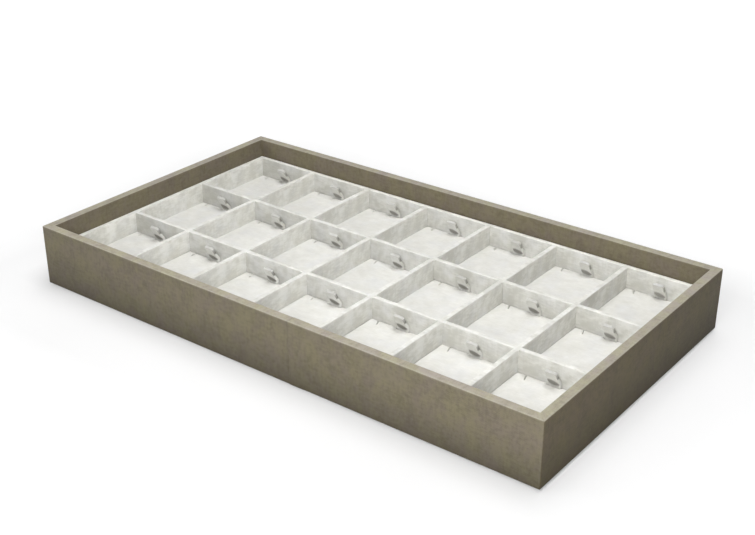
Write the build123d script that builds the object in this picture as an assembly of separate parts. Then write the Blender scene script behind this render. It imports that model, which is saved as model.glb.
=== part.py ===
from build123d import *
from math import atan2, degrees, hypot
import os

# Pendant display tray: a wrapped box tray, a lift-out insert of linen-covered
# boards with 7 x 3 cells, a leaning hook tab on the back wall of every cell,
# and a loose pad in every cell that tips up on its back edge.
# Millimetres, +Z up. Origin: centre of the footprint, on the surface the tray
# stands on. +X along the length, the front long side faces -Y.

# ---- driving dimensions -------------------------------------------------
TRAY_L = 374.65          # outside length (14 3/4 in)
TRAY_D = 209.55          # outside depth (8 1/4 in)
WALL_H = 41.0            # height of the covered wall
FOOT_H = 1.8             # stacking foot below the wall
WALL_T = 6.3             # wall over its cover
COVER_T = 0.5            # outer cover
COVER_TURN = 4.0         # how far the cover turns in under the wall
BASE_T = 2.5             # base board
LINER_T = 0.4            # lining sheet on the base board
FELT_T = 0.5             # felt under the stacking foot
FOOT_CLEAR = 0.4         # foot to the tray opening below it, each side
EDGE_R = 0.8             # soft edge of the cover

COLS, ROWS = 7, 3
INSERT_GAP = 0.3         # insert to tray wall, each side
RIM_BOARD_T = 3.1        # outside boards of the insert
DIV_T = 3.4              # dividers
INSERT_TOP = 28.2        # above the wall's bottom edge
INSERT_FLOOR_T = 1.0
LAP_CLEAR = 0.05         # each side of a half-lap slot

LEDGE_W = 4.0            # pad ledge, each side of a cell
LEDGE_H = 5.3            # leaves the chain space below the pad

PAD_GAP = 0.5            # pad to cell wall, each side
PAD_EDGE_H = 5.0         # pad thickness at its edge
PAD_CROWN = 1.7          # rise of the pad's top inside its sloped border
PAD_BORDER = 5.2         # width of the sloped border
PAD_CORNER_R = 1.2
SLIT_W = 1.2             # chain slits, cut on the slant towards the back corners
SLIT_BACK_X = 18.0       # from the cell's centre, at the pad's back edge
SLIT_FRONT_X = 15.2      # at the slit's closed end
SLIT_REACH = 7.5         # from the back wall of the cell
NOTCH_W = 9.1            # notch for the hook tab
NOTCH_REACH = 3.0

HOOK_W = 7.5
HOOK_T = 2.0
HOOK_BEND_BACK = 17.0    # above the wall's bottom edge, back face
HOOK_BEND_FRONT = 16.4   # above the wall's bottom edge, front face
HOOK_TIP_BACK = (-5.23, 26.19)   # (from the cell's back wall, above wall bottom)
HOOK_TIP_FRONT = (-6.97, 25.21)
HOOK_TIP_R = 1.6

# ---- derived -------------------------------------------------------------
Z0 = FOOT_H                         # bottom edge of the walls
RIM = Z0 + WALL_H
HX, HY = TRAY_L / 2, TRAY_D / 2
IN_X, IN_Y = HX - WALL_T, HY - WALL_T
BASE_TOP = Z0 + BASE_T
LINER_TOP = BASE_TOP + LINER_T
FLOOR_TOP = LINER_TOP + INSERT_FLOOR_T
INS_X, INS_Y = IN_X - INSERT_GAP, IN_Y - INSERT_GAP
INS_TOP = Z0 + INSERT_TOP
FACE_X, FACE_Y = INS_X - RIM_BOARD_T, INS_Y - RIM_BOARD_T   # inner faces
CELL_W = (2 * FACE_X - (COLS - 1) * DIV_T) / COLS
CELL_D = (2 * FACE_Y - (ROWS - 1) * DIV_T) / ROWS
PITCH_X, PITCH_Y = CELL_W + DIV_T, CELL_D + DIV_T
LEDGE_TOP = FLOOR_TOP + LEDGE_H
PAD_EDGE_TOP = LEDGE_TOP + PAD_EDGE_H


def box(x0, x1, y0, y1, z0, z1):
    return Pos((x0 + x1) / 2, (y0 + y1) / 2, (z0 + z1) / 2) * Box(x1 - x0, y1 - y0, z1 - z0)


def cell(col, row):
    """Left, right, front and back faces of a cell; row 0 is the front row."""
    x0 = -FACE_X + col * PITCH_X
    y0 = -FACE_Y + row * PITCH_Y
    return x0, x0 + CELL_W, y0, y0 + CELL_D


# ---- tray ------------------------------------------------------------------
def wall_cores():
    t0, t1 = COVER_T, WALL_T - COVER_T
    z0, z1 = Z0 + COVER_T, RIM - COVER_T
    return {
        "wall_board_front": box(-HX + t0, HX - t0, -HY + t0, -HY + t1, z0, z1),
        "wall_board_back": box(-HX + t0, HX - t0, HY - t1, HY - t0, z0, z1),
        "wall_board_left": box(-HX + t0, -HX + t1, -HY + t1, HY - t1, z0, z1),
        "wall_board_right": box(HX - t1, HX - t0, -HY + t1, HY - t1, z0, z1),
    }


def outer_cover():
    """Continuous sheet: outside, over the rim, down inside, turned in below."""
    outside = box(-HX, HX, -HY, HY, Z0, RIM)
    outside = fillet(outside.edges().filter_by(Axis.Z), EDGE_R)
    well = box(-IN_X, IN_X, -IN_Y, IN_Y, Z0 - 1, RIM + 1)
    shell = outside - well
    shell = fillet(shell.faces().sort_by(Axis.Z)[-1].edges(), EDGE_R * 0.55)
    t0, t1 = COVER_T, WALL_T - COVER_T
    boards = box(-HX + t0, HX - t0, -HY + t0, HY - t0, Z0 + COVER_T, RIM - COVER_T) \
        - box(-HX + t1, HX - t1, -HY + t1, HY - t1, Z0, RIM)
    mouth = box(-HX + COVER_TURN, HX - COVER_TURN, -HY + COVER_TURN, HY - COVER_TURN, Z0 - 1, Z0 + COVER_T) \
        - box(-HX + t1, HX - t1, -HY + t1, HY - t1, Z0 - 2, Z0 + COVER_T + 1)
    return shell - boards - mouth


def base_parts():
    fx, fy = IN_X - FOOT_CLEAR, IN_Y - FOOT_CLEAR
    foot = box(-fx, fx, -fy, fy, FELT_T, Z0)
    foot = fillet(foot.edges().filter_by(Axis.Z), 2.0)
    felt = box(-fx, fx, -fy, fy, 0, FELT_T)
    felt = fillet(felt.edges().filter_by(Axis.Z), 2.0)
    return {
        "base_board": box(-IN_X, IN_X, -IN_Y, IN_Y, Z0, BASE_TOP),
        "stacking_foot": foot,
        "foot_felt": felt,
        "tray_liner": box(-IN_X, IN_X, -IN_Y, IN_Y, BASE_TOP, LINER_TOP),
    }


# ---- insert ----------------------------------------------------------------
def insert_parts():
    parts = {"insert_floor": box(-INS_X, INS_X, -INS_Y, INS_Y, LINER_TOP, FLOOR_TOP)}
    z0, z1 = FLOOR_TOP, INS_TOP
    mid = (z0 + z1) / 2
    parts["insert_board_front"] = box(-INS_X, INS_X, -INS_Y, -FACE_Y, z0, z1)
    parts["insert_board_back"] = box(-INS_X, INS_X, FACE_Y, INS_Y, z0, z1)
    parts["insert_board_left"] = box(-INS_X, -FACE_X, -FACE_Y, FACE_Y, z0, z1)
    parts["insert_board_right"] = box(FACE_X, INS_X, -FACE_Y, FACE_Y, z0, z1)
    xs = [cell(c, 0)[1] for c in range(COLS - 1)]       # left faces of cross dividers
    ys = [cell(0, r)[3] for r in range(ROWS - 1)]       # front faces of row dividers
    for r, y in enumerate(ys):
        board = box(-FACE_X, FACE_X, y, y + DIV_T, z0, z1)
        for x in xs:
            board -= box(x - LAP_CLEAR, x + DIV_T + LAP_CLEAR, y - 1, y + DIV_T + 1, mid, z1 + 1)
        parts[f"row_divider_{r + 1}"] = board
    for c, x in enumerate(xs):
        board = box(x, x + DIV_T, -FACE_Y, FACE_Y, z0, z1)
        for y in ys:
            board -= box(x - 1, x + DIV_T + 1, y - LAP_CLEAR, y + DIV_T + LAP_CLEAR, z0 - 1, mid)
        parts[f"cross_divider_{c + 1}"] = board
    for r in range(ROWS):
        strips = []
        for c in range(COLS):
            x0, x1, y0, y1 = cell(c, r)
            strips.append(box(x0, x0 + LEDGE_W, y0, y1, z0, LEDGE_TOP))
            strips.append(box(x1 - LEDGE_W, x1, y0, y1, z0, LEDGE_TOP))
        parts[f"pad_ledges_row_{r + 1}"] = Compound(children=strips)
    return parts


def hook_tab(col, row):
    """Bent strip: a foot glued to the cell's back wall, a blade leaning forward."""
    x0, x1, y0, y1 = cell(col, row)
    xc = (x0 + x1) / 2
    pts = [
        (y1, FLOOR_TOP),
        (y1, Z0 + HOOK_BEND_BACK),
        (y1 + HOOK_TIP_BACK[0], Z0 + HOOK_TIP_BACK[1]),
        (y1 + HOOK_TIP_FRONT[0], Z0 + HOOK_TIP_FRONT[1]),
        (y1 - HOOK_T, Z0 + HOOK_BEND_FRONT),
        (y1 - HOOK_T, FLOOR_TOP),
    ]
    line = Polyline(*[(0, y, z) for y, z in pts], close=True)
    tab = extrude(make_face(line), HOOK_W / 2, dir=(1, 0, 0), both=True)
    top = max(p[1] for p in pts)
    tips = [
        e for e in tab.edges()
        if abs(abs(e.center().X) - HOOK_W / 2) < 1e-3
        and abs(e.center().Z - (pts[2][1] + pts[3][1]) / 2) < 0.05
    ]
    tab = fillet(tips, HOOK_TIP_R)
    return Pos(xc, 0, 0) * tab


# ---- pads ------------------------------------------------------------------
def pad(col, row):
    x0, x1, y0, y1 = cell(col, row)
    xc, yc = (x0 + x1) / 2, (y0 + y1) / 2
    w, d = CELL_W - 2 * PAD_GAP, CELL_D - 2 * PAD_GAP
    slab = Pos(0, 0, LEDGE_TOP + PAD_EDGE_H / 2) * Box(w, d, PAD_EDGE_H)
    slab = fillet(slab.edges().filter_by(Axis.Z), PAD_CORNER_R)
    low = Plane.XY.offset(PAD_EDGE_TOP) * RectangleRounded(w, d, PAD_CORNER_R)
    high = Plane.XY.offset(PAD_EDGE_TOP + PAD_CROWN) * RectangleRounded(
        w - 2 * PAD_BORDER, d - 2 * PAD_BORDER, PAD_CORNER_R)
    crown = loft([low, high], ruled=True)
    body = slab + crown
    half = CELL_D / 2
    z0, z1 = LEDGE_TOP - 1, PAD_EDGE_TOP + PAD_CROWN + 1
    run = (SLIT_BACK_X - SLIT_FRONT_X, SLIT_REACH - PAD_GAP)      # across, along
    slant = degrees(atan2(run[0], run[1]))
    length = hypot(*run) + 2.0                                    # runs out over the back edge
    for s in (-1, 1):
        blade = Pos(0, length / 2, 0) * Box(SLIT_W, length, z1 - z0)
        body -= Pos(s * SLIT_FRONT_X, half - SLIT_REACH, (z0 + z1) / 2) * (Rot(0, 0, -s * slant) * blade)
    body -= box(-NOTCH_W / 2, NOTCH_W / 2, half - NOTCH_REACH, half + 1, z0, z1)
    return Pos(xc, yc, 0) * body


def main():
    os.makedirs("parts", exist_ok=True)
    nodes = {}
    nodes.update(wall_cores())
    nodes["outer_cover"] = outer_cover()
    nodes.update(base_parts())
    nodes.update(insert_parts())
    for r in range(ROWS):
        nodes[f"hook_tabs_row_{r + 1}"] = Compound(children=[hook_tab(c, r) for c in range(COLS)])
        for c in range(COLS):
            nodes[f"pad_r{r + 1}_c{c + 1}"] = pad(c, r)
    for name, shape in nodes.items():
        export_step(shape, f"parts/{name}.step")
    print("cell", round(CELL_W, 3), round(CELL_D, 3), "pitch", round(PITCH_X, 3), round(PITCH_Y, 3))
    print("pad pivot y (from cell back)", -PAD_GAP, "z", PAD_EDGE_TOP, "rim", RIM)
    print(len(nodes), "nodes")


main()
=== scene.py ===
import bpy
import bmesh
import math
import random
import numpy as np
from mathutils import Matrix, Vector, noise


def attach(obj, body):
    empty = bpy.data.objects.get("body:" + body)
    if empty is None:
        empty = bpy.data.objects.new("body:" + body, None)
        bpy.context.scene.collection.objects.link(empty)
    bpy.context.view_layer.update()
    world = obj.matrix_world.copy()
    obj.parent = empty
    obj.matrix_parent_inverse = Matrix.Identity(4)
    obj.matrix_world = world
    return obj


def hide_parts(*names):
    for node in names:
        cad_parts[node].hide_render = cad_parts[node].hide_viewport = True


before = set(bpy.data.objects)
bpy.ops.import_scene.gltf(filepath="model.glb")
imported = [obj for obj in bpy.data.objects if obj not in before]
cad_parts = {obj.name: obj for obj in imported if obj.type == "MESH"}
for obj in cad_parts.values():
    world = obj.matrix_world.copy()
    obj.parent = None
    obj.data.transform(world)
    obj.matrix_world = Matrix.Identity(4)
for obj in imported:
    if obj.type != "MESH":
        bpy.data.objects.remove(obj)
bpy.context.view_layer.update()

# ---------------------------------------------------------------- dimensions
# Millimetres, the same frame as the CAD: origin at the centre of the
# footprint, on the surface the tray stands on, front long side towards -Y.
MM = 0.001
HX, HY = 187.325, 104.775          # half of the outside length and depth
Z0, RIM = 1.8, 42.8                # bottom edge and rim of the wall
WALL_T, COVER_T, TURN = 6.3, 0.5, 4.0
FLOOR_TOP, INS_TOP = 5.7, 30.0     # insert: top of its card floor, top of its boards
INS_X, INS_Y = HX - WALL_T - 0.3, HY - WALL_T - 0.3
FACE_X, FACE_Y = INS_X - 3.1, INS_Y - 3.1
DIV_T, INTO = 3.4, 0.55            # INTO: how far a covered board runs into the cloth of the one it meets
COLS, ROWS = 7, 3
CELL_W = (2 * FACE_X - (COLS - 1) * DIV_T) / COLS
CELL_D = (2 * FACE_Y - (ROWS - 1) * DIV_T) / ROWS
PITCH_X, PITCH_Y = CELL_W + DIV_T, CELL_D + DIV_T
LEDGE_TOP, PAD_EDGE, PAD_TOP = 11.0, 16.0, 17.7
PAD_W, PAD_D = CELL_W - 0.3, CELL_D - 0.5
SEAM_X = 22.7                      # where the cover's two ends lap, on the front
FOOT_SHADE_F, FOOT_SHADE_R = 0.38, 0.39          # painted shade: the cover's colour factor at the foot of the front, and of the other sides
# SIDE_R and SIDE_IN are painted shade, the right side and the inside faces darker than the front; SIDE_F and SIDE_B are
# the cover's own colour
SIDE_F, SIDE_R, SIDE_B, SIDE_IN = (1.0, 1.0, 1.0), (0.78, 0.73, 0.61), (1.0, 0.98, 0.94), (0.79, 0.78, 0.775)
# painted light: the rim lighter than the sides, where top light falls
RIM_PAINTED_LIGHT = (1.46, 1.53, 1.73)


def cell(c, r):
    x0 = -FACE_X + c * PITCH_X
    y0 = -FACE_Y + r * PITCH_Y
    return x0, x0 + CELL_W, y0, y0 + CELL_D


# ------------------------------------------------------------------ materials
class Tree:
    """A small helper for building a node material."""

    def __init__(self, name):
        self.mat = bpy.data.materials.new(name)
        self.mat.use_nodes = True
        self.t = self.mat.node_tree
        self.t.nodes.clear()
        self.out = self.add("ShaderNodeOutputMaterial")
        self.bsdf = self.add("ShaderNodeBsdfPrincipled")
        self.t.links.new(self.bsdf.outputs["BSDF"], self.out.inputs["Surface"])

    def add(self, kind, **props):
        n = self.t.nodes.new(kind)
        for k, v in props.items():
            setattr(n, k, v)
        return n

    def put(self, value, socket):
        if isinstance(value, bpy.types.NodeSocket):
            self.t.links.new(value, socket)
        elif value is not None:
            socket.default_value = value

    def math(self, op, a, b=None, c=None, clamp=False):
        n = self.add("ShaderNodeMath", operation=op, use_clamp=clamp)
        for v, s in zip((a, b, c), n.inputs):
            self.put(v, s)
        return n.outputs[0]

    def coords(self, name="wv"):
        """Thread coordinates in metres, laid along the surface."""
        n = self.add("ShaderNodeAttribute", attribute_type="GEOMETRY", attribute_name=name)
        s = self.add("ShaderNodeSeparateXYZ")
        self.t.links.new(n.outputs["Vector"], s.inputs[0])
        return s.outputs[0], s.outputs[1], s.outputs[2]

    def object_coords(self):
        n = self.add("ShaderNodeTexCoord")
        s = self.add("ShaderNodeSeparateXYZ")
        self.t.links.new(n.outputs["Object"], s.inputs[0])
        return s.outputs[0], s.outputs[1], s.outputs[2]

    def vec(self, x, y, z):
        n = self.add("ShaderNodeCombineXYZ")
        for v, s in zip((x, y, z), n.inputs):
            self.put(v, s)
        return n.outputs[0]

    def scaled(self, u, v, w, su, sv, sw=1.0):
        return self.vec(self.math("MULTIPLY", u, su), self.math("MULTIPLY", v, sv), self.math("MULTIPLY", w, sw))

    def noise(self, vector, scale=1.0, detail=2.0, rough=0.5, distortion=0.0):
        n = self.add("ShaderNodeTexNoise", noise_dimensions="3D")
        self.put(vector, n.inputs["Vector"])
        n.inputs["Scale"].default_value = scale
        n.inputs["Detail"].default_value = detail
        n.inputs["Roughness"].default_value = rough
        n.inputs["Distortion"].default_value = distortion
        return n.outputs["Fac"]

    def ramp(self, fac, stops):
        n = self.add("ShaderNodeValToRGB")
        self.put(fac, n.inputs["Fac"])
        cr = n.color_ramp
        while len(cr.elements) < len(stops):
            cr.elements.new(0.5)
        for e, (p, c) in zip(cr.elements, stops):
            e.position = p
            e.color = (*c, 1.0)
        return n.outputs["Color"]

    def mix(self, fac, a, b, kind="MIX"):
        n = self.add("ShaderNodeMix", data_type="RGBA", blend_type=kind)
        self.put(fac, n.inputs[0])
        for v, s in ((a, n.inputs[6]), (b, n.inputs[7])):
            if isinstance(v, tuple):
                v = (*v, 1.0)
            self.put(v, s)
        return n.outputs[2]

    def bump(self, height, distance, strength=1.0):
        n = self.add("ShaderNodeBump")
        n.inputs["Strength"].default_value = strength
        n.inputs["Distance"].default_value = distance
        self.put(height, n.inputs["Height"])
        self.t.links.new(n.outputs["Normal"], self.bsdf.inputs["Normal"])

    def with_painted_light(self, col):
        """The colour times a per-point factor: painted light and shade tied to a place on the piece."""
        n = self.add("ShaderNodeAttribute", attribute_type="GEOMETRY", attribute_name="tint_and_painted_light")
        return self.mix(1.0, col, n.outputs["Vector"], "MULTIPLY")

    def weave(self, u, v, w, pitch, wobble=0.12):
        """Plain weave, 0..1: rounded crossings with the threads' own wander."""
        n1 = self.noise(self.scaled(u, v, w, 90.0, 260.0), 1.0, 2.0)
        n2 = self.noise(self.scaled(u, v, w, 260.0, 90.0), 1.0, 2.0)
        uu = self.math("MULTIPLY_ADD", self.math("SUBTRACT", n1, 0.5), wobble * pitch * 8, u)
        vv = self.math("MULTIPLY_ADD", self.math("SUBTRACT", n2, 0.5), wobble * pitch * 8, v)
        cu = self.math("SINE", self.math("MULTIPLY", uu, math.pi / pitch))
        cv = self.math("SINE", self.math("MULTIPLY", vv, math.pi / pitch))
        bumps = self.math("ABSOLUTE", self.math("MULTIPLY", cu, cv))
        over = self.math("MULTIPLY_ADD", self.math("MULTIPLY", cu, cv), 0.25, 0.25)
        return self.math("MULTIPLY_ADD", bumps, 0.5, over)


def linen(name, base, dark, light, pitch, streak=0.5, rough=0.86, sheen=0.12, depth=0.00009, shade_col=None):
    """Woven linen book cloth: slubs along both threads, a soft mottle, a fine weave. The last argument is the colour of
    the painted shade that a per-point attribute mixes in.
    """
    t = Tree(name)
    u, v, w = t.coords()
    slub_u = t.noise(t.scaled(u, v, w, 230.0, 780.0), 1.0, 3.0, 0.6)
    slub_v = t.noise(t.scaled(u, v, w, 700.0, 190.0), 1.0, 3.0, 0.6)
    mottle = t.noise(t.scaled(u, v, w, 55.0, 55.0), 1.0, 3.0, 0.55)
    patch = t.noise(t.scaled(u, v, w, 150.0, 210.0, 2.0), 1.0, 2.0, 0.5)
    grain = t.noise(t.scaled(u, v, w, 2100.0, 2100.0), 1.0, 1.0)
    wv = t.weave(u, v, w, pitch)
    streaks = t.math("MULTIPLY_ADD", slub_u, 0.66, t.math("MULTIPLY", slub_v, 0.34))
    tone = t.math("MULTIPLY_ADD", t.math("SUBTRACT", streaks, 0.5), streak, 0.5)
    tone = t.math("MULTIPLY_ADD", t.math("SUBTRACT", mottle, 0.5), 0.95 * streak, tone)
    tone = t.math("MULTIPLY_ADD", t.math("SUBTRACT", patch, 0.5), 0.90 * streak, tone)
    tone = t.math("MULTIPLY_ADD", t.math("SUBTRACT", grain, 0.5), 0.22, tone)
    tone = t.math("MULTIPLY_ADD", t.math("SUBTRACT", wv, 0.45), 0.20, tone, clamp=True)
    col = t.with_painted_light(t.ramp(tone, [(0.12, dark), (0.5, base), (0.9, light)]))
    cool = t.math("MULTIPLY", t.math("SUBTRACT", t.noise(t.scaled(u, v, w, 90.0, 75.0, 9.0), 1.0, 2.0, 0.5), 0.42), 3.2, clamp=True)
    col = t.mix(t.math("MULTIPLY", cool, 0.17), col, tuple(q * k for q, k in zip(base, (0.86, 0.90, 1.10))))
    # painted shade: a dark colour mixed in low on the hook's front and on its upper sides, for the shade under the
    # leaning blade and in the gap behind it
    if shade_col:
        painted_shade = t.add("ShaderNodeAttribute", attribute_type="GEOMETRY", attribute_name="painted_shade")
        ragged_shade = t.math("MULTIPLY_ADD", t.math("SUBTRACT", grain, 0.5), 0.35, painted_shade.outputs["Fac"])
        k = t.math("MULTIPLY", t.math("SUBTRACT", ragged_shade, 0.30), 1.45, clamp=True)
        col = t.mix(k, col, t.ramp(grain, [(0.3, tuple(0.86 * q for q in shade_col)), (0.7, tuple(1.14 * q for q in shade_col))]))
    t.put(col, t.bsdf.inputs["Base Color"])
    t.put(t.math("MULTIPLY_ADD", mottle, 0.10, rough - 0.05), t.bsdf.inputs["Roughness"])
    t.bsdf.inputs["Specular IOR Level"].default_value = 0.25
    t.bsdf.inputs["Sheen Weight"].default_value = sheen
    t.bsdf.inputs["Sheen Roughness"].default_value = 0.6
    height = t.math("MULTIPLY_ADD", streaks, 0.9, t.math("MULTIPLY", wv, 0.6))
    height = t.math("MULTIPLY_ADD", grain, 0.25, height)
    t.bump(height, depth, 0.8)
    return t.mat


def leatherette(name, olive, mauve, shade, light):
    """Taupe leatherette with a fine linen emboss: olive and mauve clouds, vertical and level threads."""
    t = Tree(name)
    u, v, w = t.coords()
    cloud = t.noise(t.scaled(u, v, w, 62.0, 48.0), 1.0, 4.0, 0.55, 0.4)
    cloud2 = t.noise(t.scaled(u, v, w, 150.0, 120.0, 3.0), 1.0, 3.0, 0.6)
    slub_v = t.noise(t.scaled(u, v, w, 900.0, 240.0), 1.0, 3.0, 0.6)
    slub_u = t.noise(t.scaled(u, v, w, 260.0, 950.0), 1.0, 3.0, 0.6)
    grain = t.noise(t.scaled(u, v, w, 1500.0, 1500.0), 1.0, 2.0)
    wv = t.weave(u, v, w, 0.00062, 0.10)
    hue = t.math("MULTIPLY_ADD", t.math("SUBTRACT", cloud2, 0.5), 0.7, cloud, clamp=True)
    col = t.ramp(hue, [(0.34, olive), (0.66, mauve)])
    thread = t.math("MULTIPLY_ADD", slub_v, 0.55, t.math("MULTIPLY", slub_u, 0.45))
    dark = t.math("MULTIPLY_ADD", t.math("SUBTRACT", 0.5, thread), 1.5, 0.30)
    dark = t.math("MULTIPLY_ADD", t.math("SUBTRACT", 0.5, grain), 0.8, dark)
    dark = t.math("MULTIPLY_ADD", t.math("SUBTRACT", 0.45, wv), 0.7, dark)
    runs_v = t.noise(t.scaled(u, v, w, 520.0, 210.0, 5.0), 1.0, 2.0, 0.55)
    runs_u = t.noise(t.scaled(u, v, w, 230.0, 560.0, 7.0), 1.0, 2.0, 0.55)
    worn_v = t.noise(t.scaled(u, v, w, 90.0, 70.0, 8.0), 1.0, 2.0, 0.5)
    dark = t.math("MULTIPLY_ADD", t.math("SUBTRACT", 0.5, runs_v), 1.5, dark)
    dark = t.math("MULTIPLY_ADD", t.math("SUBTRACT", 0.5, worn_v), 1.4, dark)
    dark = t.math("MULTIPLY_ADD", t.math("SUBTRACT", 0.5, runs_u), 1.5, dark, clamp=True)
    col = t.mix(t.math("MULTIPLY", dark, 0.50), col, shade)
    edge = t.add("ShaderNodeAttribute", attribute_type="GEOMETRY", attribute_name="edge")
    wear_and_painted_light = t.noise(t.scaled(u, v, w, 420.0, 420.0), 1.0, 3.0, 0.6)
    worn = t.math("MULTIPLY", edge.outputs["Fac"], t.math("MULTIPLY_ADD", wear_and_painted_light, 0.8, -0.08, clamp=True), clamp=True)
    col = t.mix(t.math("MULTIPLY", worn, 0.55), col, light)
    t.put(t.with_painted_light(col), t.bsdf.inputs["Base Color"])
    t.put(t.math("MULTIPLY_ADD", thread, 0.22, 0.48), t.bsdf.inputs["Roughness"])
    t.bsdf.inputs["Specular IOR Level"].default_value = 0.15
    t.bsdf.inputs["Sheen Weight"].default_value = 0.08
    t.bsdf.inputs["Sheen Roughness"].default_value = 0.45
    t.bsdf.inputs["Sheen Tint"].default_value = (0.95, 0.92, 0.86, 1.0)
    height = t.math("MULTIPLY_ADD", thread, 0.8, t.math("MULTIPLY", wv, 0.8))
    height = t.math("MULTIPLY_ADD", grain, 0.35, height)
    t.bump(height, 0.00009, 0.7)
    return t.mat


def board_material(name, base, dark, light, fibre=700.0, own=True):
    """Pressed fibre or grey board, in the piece's own coordinates."""
    t = Tree(name)
    x, y, z = t.object_coords()
    fine = t.noise(t.vec(t.math("MULTIPLY", x, fibre), t.math("MULTIPLY", y, fibre), t.math("MULTIPLY", z, fibre)), 1.0, 4.0, 0.65)
    flakes = t.noise(t.vec(t.math("MULTIPLY", x, fibre * 0.25), t.math("MULTIPLY", y, fibre * 0.9), t.math("MULTIPLY", z, fibre * 2.0)), 1.0, 3.0, 0.6, 0.6)
    cloud = t.noise(t.vec(t.math("MULTIPLY", x, 40.0), t.math("MULTIPLY", y, 40.0), t.math("MULTIPLY", z, 40.0)), 1.0, 2.0)
    tone = t.math("MULTIPLY_ADD", t.math("SUBTRACT", fine, 0.5), 0.8, flakes)
    tone = t.math("MULTIPLY_ADD", t.math("SUBTRACT", cloud, 0.5), 0.4, tone, clamp=True)
    t.put(t.ramp(tone, [(0.2, dark), (0.5, base), (0.8, light)]), t.bsdf.inputs["Base Color"])
    t.put(t.math("MULTIPLY_ADD", fine, 0.15, 0.8), t.bsdf.inputs["Roughness"])
    t.bsdf.inputs["Specular IOR Level"].default_value = 0.25
    t.bump(tone, 0.00012, 0.6)
    return t.mat


def felt_material(name, base, dark, light):
    t = Tree(name)
    x, y, z = t.object_coords()
    fine = t.noise(t.vec(t.math("MULTIPLY", x, 1700.0), t.math("MULTIPLY", y, 1700.0), t.math("MULTIPLY", z, 1700.0)), 1.0, 4.0, 0.7, 1.2)
    curl = t.noise(t.vec(t.math("MULTIPLY", x, 420.0), t.math("MULTIPLY", y, 420.0), t.math("MULTIPLY", z, 420.0)), 1.0, 4.0, 0.6, 2.0)
    tone = t.math("MULTIPLY_ADD", t.math("SUBTRACT", fine, 0.5), 0.9, curl, clamp=True)
    t.put(t.ramp(tone, [(0.25, dark), (0.5, base), (0.78, light)]), t.bsdf.inputs["Base Color"])
    t.put(t.math("MULTIPLY_ADD", fine, 0.1, 0.88), t.bsdf.inputs["Roughness"])
    t.bsdf.inputs["Specular IOR Level"].default_value = 0.15
    t.bsdf.inputs["Sheen Weight"].default_value = 0.4
    t.bsdf.inputs["Sheen Roughness"].default_value = 0.7
    t.bump(tone, 0.0003, 0.8)
    return t.mat


M_COVER = leatherette("taupe_leatherette", (0.269, 0.240, 0.153), (0.254, 0.217, 0.167), (0.127, 0.108, 0.072), (0.33, 0.305, 0.236))
M_LINEN = linen("linen_board_cloth", (0.714, 0.707, 0.657), (0.630, 0.622, 0.570), (0.798, 0.793, 0.752), 0.00055, 1.85)
M_PAD = linen("linen_pad_cloth", (0.702, 0.695, 0.654), (0.637, 0.628, 0.583), (0.774, 0.768, 0.732), 0.00050, 0.9, rough=0.9, sheen=0.18, depth=0.00007)
M_HOOK = linen("linen_hook_cloth", (0.650, 0.643, 0.600), (0.570, 0.562, 0.516), (0.730, 0.725, 0.688), 0.00045, 1.2, shade_col=(0.186, 0.178, 0.155))
M_CARD = board_material("grey_card", (0.36, 0.345, 0.31), (0.27, 0.255, 0.225), (0.47, 0.455, 0.42), 900.0)
M_LEDGE = board_material("ledge_board", (0.62, 0.605, 0.56), (0.52, 0.505, 0.46), (0.70, 0.69, 0.655), 900.0)
M_FLOOR_CARD = board_material("card_floor_paper", (0.70, 0.69, 0.65), (0.63, 0.615, 0.57), (0.78, 0.775, 0.745), 1100.0)
M_CORE = board_material("fibreboard", (0.36, 0.25, 0.15), (0.24, 0.155, 0.085), (0.50, 0.375, 0.245), 800.0)
M_LINER = board_material("tray_lining", (0.30, 0.28, 0.235), (0.235, 0.215, 0.175), (0.38, 0.36, 0.31), 1000.0)
M_FELT = felt_material("foot_felt", (0.085, 0.078, 0.070), (0.045, 0.041, 0.037), (0.150, 0.140, 0.128))

CAD_LOOK = {
    "wall_board_front": M_CORE, "wall_board_back": M_CORE, "wall_board_left": M_CORE, "wall_board_right": M_CORE,
    "base_board": M_CORE, "stacking_foot": M_CORE, "foot_felt": M_FELT, "tray_liner": M_LINER,
    "insert_floor": M_FLOOR_CARD,
    "pad_ledges_row_1": M_LEDGE, "pad_ledges_row_2": M_LEDGE, "pad_ledges_row_3": M_LEDGE,
}
for node, mat in CAD_LOOK.items():
    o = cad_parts[node]
    if not o.material_slots:
        o.data.materials.append(mat)
    for s in o.material_slots:
        s.material = mat


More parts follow.
